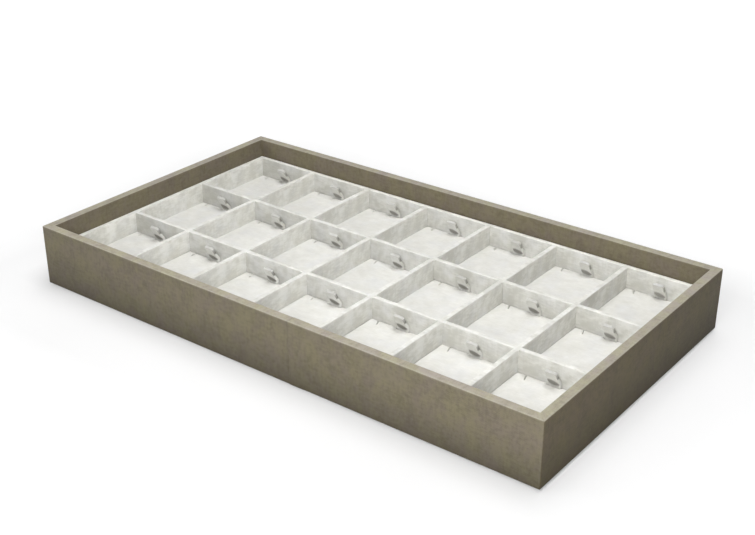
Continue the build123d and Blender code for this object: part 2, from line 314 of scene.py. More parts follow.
# ------------------------------------------------------------- mesh helpers
def finish_mesh(name, verts, faces, mats, body, nodes, mat_index=None, wv=None, points=None, seed=0.0, weighted=True):
    """verts in millimetres. wv: per-corner thread coordinates in millimetres, or None for box mapping. points: values kept per point."""
    me = bpy.data.meshes.new(name)
    me.from_pydata([tuple(v) for v in np.asarray(verts) * MM], [], faces)
    me.validate()
    me.update()
    for m in mats:
        me.materials.append(m)
    if mat_index is not None:
        me.polygons.foreach_set("material_index", np.asarray(mat_index, np.int32))
    me.polygons.foreach_set("use_smooth", np.ones(len(me.polygons), bool))
    n = len(me.loops)
    vi = np.zeros(n, np.int32)
    me.loops.foreach_get("vertex_index", vi)
    if wv is None:
        co = np.zeros(len(me.vertices) * 3)
        me.vertices.foreach_get("co", co)
        co = co.reshape(-1, 3)[vi]
        nor = np.zeros(len(me.polygons) * 3)
        me.polygons.foreach_get("normal", nor)
        tot = np.zeros(len(me.polygons), np.int32)
        me.polygons.foreach_get("loop_total", tot)
        a = np.abs(np.repeat(nor.reshape(-1, 3), tot, axis=0))
        big = a.argmax(1)
        u = np.where(big == 0, co[:, 1], co[:, 0])
        v = np.where(big == 2, co[:, 1], co[:, 2])
        uv = np.stack([u, v, np.full(n, seed * 0.013) + big * 0.21], 1)
    else:
        uv = np.asarray(wv, float) * MM
        uv[:, 2] = seed * 0.013
    at = me.attributes.new("wv", "FLOAT_VECTOR", "CORNER")
    at.data.foreach_set("vector", uv.astype(np.float32).ravel())
    points = dict(points or {})
    points.setdefault("tint_and_painted_light", np.ones((len(verts), 3)))
    for key, values in points.items():
        values = np.asarray(values, np.float32)
        if values.ndim == 2:
            me.attributes.new(key, "FLOAT_VECTOR", "POINT").data.foreach_set("vector", values.ravel())
        else:
            me.attributes.new(key, "FLOAT", "POINT").data.foreach_set("value", values)
    o = bpy.data.objects.new(name, me)
    bpy.context.scene.collection.objects.link(o)
    if weighted:
        md = o.modifiers.new("wn", "WEIGHTED_NORMAL")
        md.keep_sharp = True
        md.weight = 80
        dg = bpy.context.evaluated_depsgraph_get()
        baked = bpy.data.meshes.new_from_object(o.evaluated_get(dg), preserve_all_data_layers=True, depsgraph=dg)
        o.modifiers.clear()
        old = o.data
        o.data = baked
        bpy.data.meshes.remove(old)
        baked.name = name
    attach(o, body)
    if nodes:
        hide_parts(*nodes)
    return o


def rough_up(verts, normals, amp_low, amp_high, seed, base=0.0):
    """Moves points inwards along their normals by a soft, seeded noise: cloth over board is never dead flat."""
    out = np.array(verts, float)
    off = Vector((seed * 17.3, seed * 5.1, seed * 9.7))
    for i, (p, n) in enumerate(zip(verts, normals)):
        q = Vector(p)
        a = noise.noise(q * 0.045 + off) * 0.5 + 0.5
        b = noise.noise(q * 0.42 + off) * 0.5 + 0.5
        out[i] -= np.array(n) * (base + a * amp_low + b * amp_high)
    return out


# ----------------------------------------------------------- tray: the cover
def cover():
    """One sheet round the outside, over the rim and down the inside, turned in below. Its two ends lap at SEAM_X."""
    prof = []                       # (inset, z, edge flag), a closed section

    def arc(cx, cz, r, a0, a1, n, e):
        for k in range(n + 1):
            a = math.radians(a0 + (a1 - a0) * k / n)
            prof.append((cx + r * math.cos(a), cz + r * math.sin(a), e))

    prof.append((TURN, Z0, 0.0))
    for k in range(1, 4):
        prof.append((TURN - (TURN - 0.7) * k / 3, Z0, 0.0))
    arc(0.55, Z0 + 0.55, 0.55, 270, 180, 4, 0.7)
    zs = np.linspace(Z0 + 1.2, RIM - 1.4, 16)
    prof += [(0.0, float(z), 0.0) for z in zs]
    arc(0.62, RIM - 0.62, 0.62, 180, 90, 5, 1.0)
    for x in (1.5, 2.6, 3.8, 4.9):
        prof.append((x, RIM, 0.0))
    arc(WALL_T - 0.55, RIM - 0.55, 0.55, 90, 0, 5, 0.8)
    prof += [(WALL_T, float(z), 0.0) for z in np.linspace(RIM - 1.3, Z0 + 0.4, 12)]
    outer_n = len(prof)
    prof += [(WALL_T, Z0, 0.0), (WALL_T - COVER_T, Z0, 0.0)]
    prof += [(WALL_T - COVER_T, float(z), 0.0) for z in (12.0, 30.0, RIM - COVER_T)]
    prof += [(COVER_T, RIM - COVER_T, 0.0), (COVER_T, 30.0, 0.0), (COVER_T, 12.0, 0.0), (COVER_T, Z0 + COVER_T, 0.0), (TURN, Z0 + COVER_T, 0.0)]
    prof = np.array(prof)
    m = len(prof)
    arc_len = np.concatenate([[0], np.cumsum(np.hypot(*np.diff(prof[:, :2], axis=0).T))])

    # stations round the rectangle, from the seam along +X and back to the seam
    stations = []                   # (corner index or side, position)

    def side(a, b, step=2.6):
        n = max(2, int(round(abs(b - a) / step)))
        return list(np.linspace(a, b, n + 1))

    R = 0.8
    front = side(SEAM_X, HX - 9.0)
    extra = [SEAM_X + d for d in (0.05, 0.4, 1.0, 1.5, 1.9, 2.3, 9.0, 10.0, 11.0, 12.5)]
    front = sorted(set(round(v, 4) for v in front + extra))
    stations += [("F", v) for v in front]
    corner_u = [-2.0, -0.9] + [("arc", k / 5) for k in range(6)] + [0.9, 2.0]

    def corner(tag):
        for c in corner_u:
            stations.append((tag, c))

    corner("FR")
    stations += [("R", v) for v in side(-HY + 9.0, HY - 9.0)]
    corner("RB")
    stations += [("B", -v) for v in side(-HX + 9.0, HX - 9.0)]
    corner("BL")
    stations += [("L", -v) for v in side(-HY + 9.0, HY - 9.0)]
    corner("LF")
    back_to = side(-HX + 9.0, SEAM_X)
    back_to = sorted(set(round(v, 4) for v in back_to + [SEAM_X - 0.3, SEAM_X - 0.7, SEAM_X - 1.2, SEAM_X - 2.0]))
    stations += [("f", v) for v in back_to]

    corners = {"FR": (1, -1, -90), "RB": (1, 1, 0), "BL": (-1, 1, 90), "LF": (-1, -1, 180)}
    length = {}
    pts, uu, crease, out_dir = [], [], [], []
    u = 0.0
    last = None
    for tag, s in stations:
        ring = np.zeros((m, 3))
        ring[:, 2] = prof[:, 1]
        d = prof[:, 0]
        near = 0.0
        if tag in "FRBLf" and len(tag) == 1:
            if tag in ("F", "f"):
                ring[:, 0], ring[:, 1] = s, -(HY - d)
                out_dir.append((0.0, -1.0))
            elif tag == "B":
                ring[:, 0], ring[:, 1] = s, HY - d
                out_dir.append((0.0, 1.0))
            elif tag == "R":
                ring[:, 0], ring[:, 1] = HX - d, s
                out_dir.append((1.0, 0.0))
            else:
                ring[:, 0], ring[:, 1] = -(HX - d), s
                out_dir.append((-1.0, 0.0))
        else:
            sx, sy, a0 = corners[tag]
            r = np.maximum(R - d, 0.10)
            cx, cy = sx * (HX - d - r), sy * (HY - d - r)
            if isinstance(s, tuple):
                a = math.radians(a0 + 90 * s[1])
                ring[:, 0], ring[:, 1] = cx + r * math.cos(a), cy + r * math.sin(a)
                near = 1.0
            else:
                a = math.radians(a0 if s < 0 else a0 + 90)
                # along the side, away from the arc's end
                tx, ty = -math.sin(a), math.cos(a)
                ring[:, 0] = cx + r * math.cos(a) + tx * s
                ring[:, 1] = cy + r * math.sin(a) + ty * s
            out_dir.append((math.cos(a), math.sin(a)))
        mid = ring[12]
        if last is not None:
            u += float(np.hypot(mid[0] - last[0], mid[1] - last[1]))
        last = mid
        pts.append(ring)
        uu.append(u)
        crease.append(near)
    pts = np.array(pts)             # stations x profile x 3
    ns = len(pts)
    # outward normals of the section, for pushing the sheet in
    dp = np.roll(prof[:, :2], -1, axis=0) - np.roll(prof[:, :2], 1, axis=0)
    dp /= np.maximum(np.linalg.norm(dp, axis=1, keepdims=True), 1e-9)
    nd, nz = -dp[:, 1], dp[:, 0]
    if nd[12] > 0:
        nd, nz = -nd, -nz
    out_dir = np.array(out_dir)
    nrm = np.zeros_like(pts)
    nrm[:, :, :2] = -nd[None, :, None] * out_dir[:, None, :]
    nrm[:, :, 2] = nz[None, :]
    outer = np.arange(m) < outer_n
    lap = np.zeros(ns)
    for i, (tag, s) in enumerate(stations):
        if tag == "F":
            d = s - SEAM_X
            t = min(1.0, max(0.0, (d - 9.5) / 2.5))
            lap[i] = 0.16 * t * t * (3 - 2 * t)
        else:
            lap[i] = 0.16
    off = Vector((3.1, 7.7, 1.9))
    for i in range(ns):
        for j in range(m):
            if not outer[j]:
                continue
            q = Vector(pts[i, j])
            wob = (noise.noise(q * 0.03 + off) * 0.5 + 0.5) * 0.07 + (noise.noise(q * 0.3 + off) * 0.5 + 0.5) * 0.03
            pts[i, j] -= nrm[i, j] * (lap[i] + wob)
    verts = pts.reshape(-1, 3)
    faces, wv = [], []
    edge = np.zeros(len(verts))
    for i in range(ns):
        edge[i * m:(i + 1) * m] = np.maximum(prof[:, 2], 0.75 * crease[i] * (prof[:, 0] < 1.0) * outer)
    # painted light and shade: lighter on the rim, darker low down outside, on the right side and on the inside
    tint_and_painted_light = np.ones((ns, m, 3))
    rise = np.clip((prof[:, 1] - Z0) / 28.0, 0, 1) ** 0.6
    tag_of = [tag for tag, s in stations]
    for i in range(ns):
        front, right = max(0.0, -out_dir[i, 1]) ** 2, max(0.0, out_dir[i, 0]) ** 2
        # painted shade on the right side
        side = front * np.array(SIDE_F) + right * np.array(SIDE_R) + (1 - front - right) * np.array(SIDE_B)
        back, left = max(0.0, out_dir[i, 1]) ** 2, max(0.0, -out_dir[i, 0]) ** 2
        fx, fy = pts[i, 12, 0] / HX, pts[i, 12, 1] / HY
        # painted shade: darker towards the foot, and on the right browner low down
        low = front * FOOT_SHADE_F + right * (0.24 - 0.09 * fy) + (1 - front - right) * FOOT_SHADE_R
        # painted light and shade: the front lighter towards its right end, the right side darker towards the back
        along = 1 + 0.06 * front * fx - right * (0.12 * fy - 0.01)
        out = along * side[None, :] * (low + (1 - low) * rise)[:, None]
        out = out * (1 - right * np.outer((1 - rise) ** 2, (0.0, 0.08, 0.48)))
        # painted shade on the inside faces, darker lower down, most on the back
        inside = np.array(SIDE_IN)[None, :] * (1 - (0.03 + 0.10 * back) * np.clip((38.0 - prof[:, 1]) / 8.0, 0, 1))[:, None]
        t3 = np.where((prof[:, 0] < 0.6)[:, None], out, inside)
        # painted light on the rim, set for each side
        wear_and_painted_light = 1 - front * (0.03 + 0.04 * fx) - right * (0.055 - 0.045 * fy) - back * 0.033 * (1 + fx) - left * 0.022 * (1 - fy)
        t3 = np.where((prof[:, 1] > RIM - 0.3)[:, None], wear_and_painted_light * np.array(RIM_PAINTED_LIGHT)[None, :], t3)
        if tag_of[i] in ("F", "f"):     # painted shade along the lap's step, with a faint painted light just past it
            x = pts[i, 12, 0] - SEAM_X
            t3 = t3 * (1 - 0.13 * math.exp(-((x + 0.4) / 0.75) ** 2) + 0.02 * math.exp(-((x - 1.9) / 0.8) ** 2))
        t3[~outer] = 1.0
        tint_and_painted_light[i] = t3
    for i in range(ns - 1):
        for j in range(m):
            k = (j + 1) % m
            quad = (i * m + j, (i + 1) * m + j, (i + 1) * m + k, i * m + k)
            faces.append(quad)
            v0, v1 = arc_len[j], arc_len[k] if k else arc_len[-1] + 3.0
            wv += [(uu[i], v0, 0), (uu[i + 1], v0, 0), (uu[i + 1], v1, 0), (uu[i], v1, 0)]
    # the two cut ends
    faces.append(tuple(range(m)))
    wv += [(0, arc_len[j], 0) for j in range(m)]
    faces.append(tuple((ns - 1) * m + j for j in reversed(range(m))))
    wv += [(0, arc_len[j], 0) for j in reversed(range(m))]
    return verts, faces, wv, edge, tint_and_painted_light.reshape(-1, 3)


verts, faces, wv, edge, tint_and_painted_light = cover()
finish_mesh("cover_sheet", verts, faces, [M_COVER], "tray", ["outer_cover"], wv=wv, points={"edge": edge, "tint_and_painted_light": tint_and_painted_light}, seed=1.0)


# --------------------------------------------------- insert: linen-wrapped boards
def lines(a, b, step, marks=()):
    """Grid positions from a to b, about step apart, with every mark on a line."""
    stops = sorted({round(a, 5), round(b, 5), *(round(x, 5) for x in marks)})
    out = []
    for p, q in zip(stops, stops[1:]):
        n = max(1, int(math.ceil((q - p) / step)))
        out += list(np.linspace(p, q, n + 1))[:-1]
    return out + [b]


# painted light on the back board's top, which the tray wall shades
BOARD_TOP_PAINTED_LIGHT = {"insert_board_back": 1.17}


def board(name, node, axis, l0, l1, t0, t1, slots_down=(), slots_up=(), seed=1.0, soft=0.55):
    """A board covered in cloth, with half-lap slots from above (slots_down) or below (slots_up)."""
    z0, z1 = FLOOR_TOP, INS_TOP
    mid = (z0 + z1) / 2
    half = DIV_T / 2 - INTO
    marks = []
    for c in (*slots_down, *slots_up):
        marks += [c - half, c + half, c - half - 1.3, c + half + 1.3]
    ls = lines(l0, l1, 3.4, marks + [l0 + 1.3, l1 - 1.3])
    zs = lines(z0, z1, 3.4, [mid, z1 - 1.3, z0 + 1.3, mid + 1.3])

    def filled(i, j):
        if not (0 <= i < len(ls) - 1 and 0 <= j < len(zs) - 1):
            return False
        l, z = (ls[i] + ls[i + 1]) / 2, (zs[j] + zs[j + 1]) / 2
        if z > mid and any(abs(l - c) < half for c in slots_down):
            return False
        if z < mid and any(abs(l - c) < half for c in slots_up):
            return False
        return True

    bm = bmesh.new()
    grid = {}

    def v(i, j, k):
        key = (i, j, k)
        if key not in grid:
            t = (t0, t1)[k]
            grid[key] = bm.verts.new((ls[i], t, zs[j]) if axis == 0 else (t, ls[i], zs[j]))
        return grid[key]

    for i in range(len(ls) - 1):
        for j in range(len(zs) - 1):
            if not filled(i, j):
                continue
            for k in (0, 1):
                bm.faces.new((v(i, j, k), v(i + 1, j, k), v(i + 1, j + 1, k), v(i, j + 1, k)))
            for di, dj, a, b in ((-1, 0, (i, j), (i, j + 1)), (1, 0, (i + 1, j), (i + 1, j + 1)), (0, -1, (i, j), (i + 1, j)), (0, 1, (i, j + 1), (i + 1, j + 1))):
                if not filled(i + di, j + dj):
                    bm.faces.new((v(*a, 0), v(*b, 0), v(*b, 1), v(*a, 1)))
    bmesh.ops.recalc_face_normals(bm, faces=bm.faces)
    sharp = [e for e in bm.edges if len(e.link_faces) == 2 and e.calc_face_angle() > 1.0]
    bmesh.ops.bevel(bm, geom=sharp, offset=soft, offset_type="OFFSET", segments=3, profile=0.5, affect="EDGES", clamp_overlap=True)
    bm.normal_update()
    bm.verts.ensure_lookup_table()
    co = [tuple(q.co) for q in bm.verts]
    nn = [tuple(q.normal) for q in bm.verts]
    bm.verts.index_update()
    faces = [tuple(q.index for q in f.verts) for f in bm.faces]
    bm.free()
    co = rough_up(co, nn, 0.07, 0.05, seed, 0.0)
    # the top edge of a covered board wanders a little along its length
    for p in co:
        if p[2] > z1 - 1.0:
            l = p[0] if axis == 0 else p[1]
            p[2] -= 0.09 * (noise.noise(Vector((l * 0.09, seed * 3.3, 0))) * 0.5 + 0.5)
    # painted light and shade on the cloth: faces turned to the sides lighter than faces turned to the front, a gradient
    # from left to right, darker down towards the pads; the top edges get their own factor
    tint_and_painted_light = []
    for p in co:
        k = (1.065 - 0.055 * p[0] / FACE_X, 0.88) if axis == 1 else ((0.91 if node == "insert_board_back" else 0.85) + 0.07 * p[0] / FACE_X, 0.90)
        low = min(1.0, max(0.0, (p[2] - 18.0) / 10.0))
        q = k[0] * (k[1] + (1 - k[1]) * low)
        if p[2] > z1 - 0.35:
            q = BOARD_TOP_PAINTED_LIGHT.get(node, 0.985)
        tint_and_painted_light.append((q, q, q))
    return finish_mesh(name, co, faces, [M_LINEN], "insert", [node], points={"tint_and_painted_light": tint_and_painted_light}, seed=seed)


cross_x = [cell(c, 0)[1] + DIV_T / 2 for c in range(COLS - 1)]
row_y = [cell(0, r)[3] + DIV_T / 2 for r in range(ROWS - 1)]
board("linen_board_front", "insert_board_front", 0, -INS_X, INS_X, -INS_Y, -FACE_Y, seed=2)
board("linen_board_back", "insert_board_back", 0, -INS_X, INS_X, FACE_Y, INS_Y, seed=3)
board("linen_board_left", "insert_board_left", 1, -FACE_Y - INTO, FACE_Y + INTO, -INS_X, -FACE_X, seed=4)
board("linen_board_right", "insert_board_right", 1, -FACE_Y - INTO, FACE_Y + INTO, FACE_X, INS_X, seed=5)
for r, y in enumerate(row_y):
    board(f"linen_row_divider_{r + 1}", f"row_divider_{r + 1}", 0, -FACE_X - INTO, FACE_X + INTO, y - DIV_T / 2, y + DIV_T / 2, slots_down=cross_x, seed=6 + r)
for c, x in enumerate(cross_x):
    board(f"linen_cross_divider_{c + 1}", f"cross_divider_{c + 1}", 1, -FACE_Y - INTO, FACE_Y + INTO, x - DIV_T / 2, x + DIV_T / 2, slots_up=row_y, seed=9 + c)


# ------------------------------------------------------------ insert: hook tabs
def hook():
    """A strip with cloth on its blade: foot up the back wall, a soft bend, a blade that leans forward. (x, y from the
    wall, z).

    A dark, lens-shaped patch low on the front and the dark upper sides of the blade are painted shade: the shade under
    the leaning blade and in the gap behind it."""
    foot, bend, tip = Vector((-1.0, FLOOR_TOP)), Vector((-1.0, 18.5)), Vector((-6.09, 27.48))
    d0, d1 = (bend - foot).normalized(), (tip - bend).normalized()
    theta = d0.angle(d1)
    R = 3.4
    cut = R * math.tan(theta / 2)
    a, b = bend - d0 * cut, bend + d1 * cut
    c = a + Vector((-1, 0)) * R
    path = [(foot.lerp(a, k / 20), d0) for k in range(20)]
    for k in range(7):
        ang = theta * k / 6
        path.append((c + Vector((math.cos(ang), math.sin(ang))) * R, Vector((-math.sin(ang), math.cos(ang)))))
    blade = (tip - b).length
    rest = [0.4, 0.8, 1.2, 1.6, 2.0, 2.5, 3.0, 3.5, 4.0, 4.5, 5.0, 5.5]
    rest += [blade - 1.6 + 1.6 * q for q in (0.0, 0.2, 0.4, 0.58, 0.73, 0.85, 0.94, 1.0)]
    rest = sorted(x for x in set(rest) if 0 < x <= blade)
    path += [(b + d1 * s, d1) for s in rest]
    W, T, RC = 3.70, 0.97, 0.45
    rings, painted_shade, tint_and_painted_light = [], [], []
    for i, (p, d) in enumerate(path):
        w, t = W, T
        to_tip = (tip - p).length if i > 26 else 99
        if to_tip < 1.6:
            w = W - 1.6 + math.sqrt(max(0.0, 1.6 ** 2 - (1.6 - to_tip) ** 2))
        if to_tip < 0.55:
            t = T - 0.55 + math.sqrt(max(0.0, 0.55 ** 2 - (0.55 - to_tip) ** 2))
        w = max(w, 1.9)
        t = max(t, 0.42)
        rc = min(RC, t * 0.9)
        ring = []
        for sx, sn, a0 in ((1, 1, 0), (-1, 1, 90), (-1, -1, 180), (1, -1, 270)):
            for k in range(4):
                ang = math.radians(a0 + 90 * k / 3)
                ring.append((sx * (w - rc) + rc * math.cos(ang), sn * (t - rc) + rc * math.sin(ang)))
            if a0 in (0, 180):
                for q in range(1, 10):
                    ring.append((sx * (w - rc) * (1 - 2 * q / 10), sn * t))
        flare = 0.6 * min(1.0, max(0.0, (SIDE_FROM - 0.8 - p[1]) / 2.0))
        ring = [(x + math.copysign(flare, x) * min(1.0, max(0.0, (h + T) / (2 * T))) if abs(x) > w - 0.6 else x, h) for x, h in ring]
        n = Vector((d[1], -d[0]))     # towards the wall
        rings.append([(x, p[0] + n[0] * h, p[1] + n[1] * h) for x, h in ring])
        for x, h in ring:
            z = p[1] + n[1] * h
            k = 0.0
            if h < -0.25:             # the front
                half = LOW_SHADE_HALF * math.sqrt(max(0.0, 1 - ((x + 0.3) / 4.1) ** 2))
                k = min(1.0, max(0.0, (half - abs(z - LOW_SHADE_MID + 0.13 * x)) / 2.0 + 0.42))
                k = k * (0.97 + 0.03 * x / 3.7)
            if abs(x) > w - 0.3 and z > SIDE_FROM and to_tip > 0.3:
                up = min(1.0, max(0.0, (z - SIDE_FROM - 0.6) / 2.6))
                out = min(1.0, max(0.0, (27.1 - z) / 1.0)) * min(1.0, max(0.3, (z - SIDE_FROM) / 0.9))
                k = max(k, out * (0.94 if h > 0 else 0.94 - 0.34 * up))
            painted_shade.append(k)
            # painted shade on the tip, which dulls its highlight; painted light on the lower sides, against their
            # shadow line
            q = HOOK_TIP_PAINTED_SHADE if to_tip < 0.6 else (1.04 if abs(x) > w - 0.3 and z < SIDE_FROM else 0.96)
            tint_and_painted_light.append((q, q, q))
    m = len(rings[0])
    verts = [q for ring in rings for q in ring]
    faces = []
    for i in range(len(rings) - 1):
        for j in range(m):
            k = (j + 1) % m
            faces.append((i * m + j, i * m + k, (i + 1) * m + k, (i + 1) * m + j))
    faces.append(tuple(reversed(range(m))))
    top = len(verts)
    verts.append(tuple(np.mean(rings[-1], axis=0)))
    painted_shade.append(0.0)
    tint_and_painted_light.append((HOOK_TIP_PAINTED_SHADE,) * 3)
    for j in range(m):
        faces.append((top, (len(rings) - 1) * m + j, (len(rings) - 1) * m + (j + 1) % m))
    return np.array(verts), faces, painted_shade, tint_and_painted_light


# painted shade: where the dark patch sits low on the hook's front, where the dark sides start, and the tip's darkening
LOW_SHADE_MID, LOW_SHADE_HALF, SIDE_FROM, HOOK_TIP_PAINTED_SHADE = 18.9, 2.42, 22.3, 0.80
for r in range(ROWS):
    all_v, all_f, all_b, all_t, base = [], [], [], [], 0
    for c in range(COLS):
        x0, x1, y0, y1 = cell(c, r)
        v, f, painted_shade, tint_and_painted_light = hook()
        # painted shade, weaker in the back rows and in the last column
        shade_strength = (1.0, 0.96, 0.90)[r] - (0.09 if c == COLS - 1 else 0.0)
        painted_shade = [b * shade_strength if b != 0.0 else b for b in painted_shade]
        skew = random.Random(100 * r + c).uniform(-0.12, 0.12)
        v[:, 0] += skew * np.clip((v[:, 2] - 18) / 9, 0, 1)
        v += np.array([(x0 + x1) / 2, y1 - 0.02, 0])
        all_v.append(v)
        all_f += [tuple(q + base for q in g) for g in f]
        all_b += painted_shade
        all_t += tint_and_painted_light
        base += len(v)
    finish_mesh(f"hook_tabs_linen_row_{r + 1}", np.concatenate(all_v), all_f, [M_HOOK], "insert", [f"hook_tabs_row_{r + 1}"], points={"painted_shade": all_b, "tint_and_painted_light": all_t}, seed=20 + r)


# ----------------------------------------------------------------------- pads
SLIT_X, SLIT_W, SLIT_IN = 16.6, 0.5, 6.5      # chain slits: in from the pad's back edge
SLIT_BACK, SLIT_END = 18.0, 15.4              # they slant from here at the edge to here at the closed end
NOTCH_W, NOTCH_IN = 9.1, 3.2                  # notch for the hook tab
CREST = 1.25                                  # crown before the cloth is inflated


def pad_grid():
    hw, hd = PAD_W / 2, PAD_D / 2
    r = 1.2
    xs = lines(-hw, hw, 1.35, [-hw + 0.35, -hw + 0.8, -hw + 1.3, hw - 0.35, hw - 0.8, hw - 1.3, -hw + 8.0, hw - 8.0] +
               [s * SLIT_X + q for s in (-1, 1) for q in (-SLIT_W / 2, SLIT_W / 2, -SLIT_W / 2 - 0.5, SLIT_W / 2 + 0.5)] +
               [-NOTCH_W / 2, NOTCH_W / 2, -NOTCH_W / 2 - 0.5, NOTCH_W / 2 + 0.5])
    ys = lines(-hd, hd, 1.45, [-hd + 0.35, -hd + 0.8, -hd + 1.3, hd - 0.35, hd - 0.8, hd - 1.3, hd - SLIT_IN, hd - SLIT_IN - 0.5, hd - NOTCH_IN, hd - NOTCH_IN - 0.5, -hd + 8.0, hd - 9.2])

    def filled(i, j):
        if not (0 <= i < len(xs) - 1 and 0 <= j < len(ys) - 1):
            return False
        x, y = (xs[i] + xs[i + 1]) / 2, (ys[j] + ys[j + 1]) / 2
        if y > hd - SLIT_IN and abs(abs(x) - SLIT_X) < SLIT_W / 2:
            return False
        if y > hd - NOTCH_IN and abs(x) < NOTCH_W / 2:
            return False
        return True

    def cut_dist(x, y):
        d = 99.0
        for cx, w, n in ((-SLIT_X, SLIT_W, SLIT_IN), (SLIT_X, SLIT_W, SLIT_IN), (0.0, NOTCH_W, NOTCH_IN)):
            dx = max(abs(x - cx) - w / 2, 0.0)
            dy = max((hd - n) - y, 0.0)
            d = min(d, math.hypot(dx, dy))
        return d

    def plan(x, y):
        a, b = abs(x) - (hw - r), abs(y) - (hd - r)
        if a > 0 and b > 0:
            a2 = a * math.sqrt(1 - b * b / (2 * r * r))
            b2 = b * math.sqrt(1 - a * a / (2 * r * r))
            return math.copysign(hw - r + a2, x), math.copysign(hd - r + b2, y)
        return x, y

    def slant(x, y):
        """Sideways shift that turns a straight slit into a slanting one, fading out round it."""
        near = 1 - min(1.0, abs(abs(x) - SLIT_X) / 5.8)
        near = near * near * (3 - 2 * near)
        near = 1.0 if abs(abs(x) - SLIT_X) < SLIT_W / 2 + 0.6 else near
        d = hd - y
        if d < SLIT_IN:
            go = (SLIT_BACK - SLIT_X) + (SLIT_END - SLIT_BACK) * d / SLIT_IN
        else:
            go = (SLIT_END - SLIT_X) * max(0.0, 1 - (d - SLIT_IN) / 9.0) ** 2
        return near * go * (1.0 if x > 0 else -1.0)

    def top(x, y):
        e = min(hw - abs(x), hd - abs(y))
        t = e / 5.2
        s = t if t < 0.8 else (1.0 if t > 1.2 else 1 - (1.2 - t) ** 2 / 0.8)
        z = PAD_EDGE + CREST * s
        z -= 0.40 * (1 - min(e / 1.1, 1.0)) ** 2
        z -= 0.26 * (1 - min(cut_dist(x, y) / 0.7, 1.0)) ** 2
        # the foam stands up a little in front of the hook tab
        d = hd - NOTCH_IN - y
        if 0 <= d < 6.0 and abs(x) < 8.0:
            z = max(z, z + (17.05 - z) * (1 - d / 6.0) * (1 - abs(x) / 8.0) ** 0.5)
        return z

    verts, faces, kind, mats, held = [], [], [], [], []
    index = {}
    levels = [11.0, 11.5, 12.6, 13.8, 15.0]

    def vert(i, j, k):
        key = (i, j, k)
        if key not in index:
            x, y = plan(xs[i], ys[j])
            x += slant(xs[i], ys[j])
            if k == "t":
                z = top(xs[i], ys[j])
            elif k == "b":
                z = levels[0]
            else:
                z = levels[k]
            index[key] = len(verts)
            verts.append([x, y, z])
            kind.append(1.0 if k == "t" else 0.0)
            edge = min(hw - abs(xs[i]), hd - abs(ys[j]), cut_dist(xs[i], ys[j]))
            held.append(max(0.0, 1.0 - edge / 0.9) if k == "t" else 1.0)
        return index[key]

    for i in range(len(xs) - 1):
        for j in range(len(ys) - 1):
            if not filled(i, j):
                continue
            faces.append((vert(i, j, "t"), vert(i + 1, j, "t"), vert(i + 1, j + 1, "t"), vert(i, j + 1, "t")))
            mats.append(0)
            faces.append((vert(i, j, "b"), vert(i, j + 1, "b"), vert(i + 1, j + 1, "b"), vert(i + 1, j, "b")))
            x, y = (xs[i] + xs[i + 1]) / 2, (ys[j] + ys[j + 1]) / 2
            mats.append(1 if abs(x) < hw - 8.0 and -hd + 8.0 < y < hd - 9.2 else 0)
            for di, dj, a, b in ((-1, 0, (i, j + 1), (i, j)), (1, 0, (i + 1, j), (i + 1, j + 1)), (0, -1, (i, j), (i + 1, j)), (0, 1, (i + 1, j + 1), (i, j + 1))):
                if filled(i + di, j + dj):
                    continue
                ks = ["b", 1, 2, 3, 4, "t"]
                for p, q in zip(ks, ks[1:]):
                    faces.append((vert(*a, p), vert(*b, p), vert(*b, q), vert(*a, q)))
                    mats.append(0)
    verts = np.array(verts)
    # card panel under the pad, a little in from the turned cloth
    for key, n in index.items():
        i, j, k = key
        if k == "b" and abs(xs[i]) < hw - 8.0 - 1e-6 and -hd + 8.0 + 1e-6 < ys[j] < hd - 9.2 - 1e-6:
            verts[n, 2] += 0.22
    # the side pulls in a little between edge and base, as cloth over foam does
    for key, n in index.items():
        i, j, k = key
        if isinstance(k, int):
            z = verts[n, 2]
            pull = 0.08 * math.sin(math.pi * min(1, max(0, (z - 11.0) / 5.0)))
            e = min(hw - abs(xs[i]), hd - abs(ys[j]))
            if e < 1e-6:
                if hw - abs(xs[i]) < 1e-6:
                    verts[n, 0] -= math.copysign(pull, xs[i])
                if hd - abs(ys[j]) < 1e-6:
                    verts[n, 1] -= math.copysign(pull, ys[j])
    return verts, faces, np.array(kind), mats, held


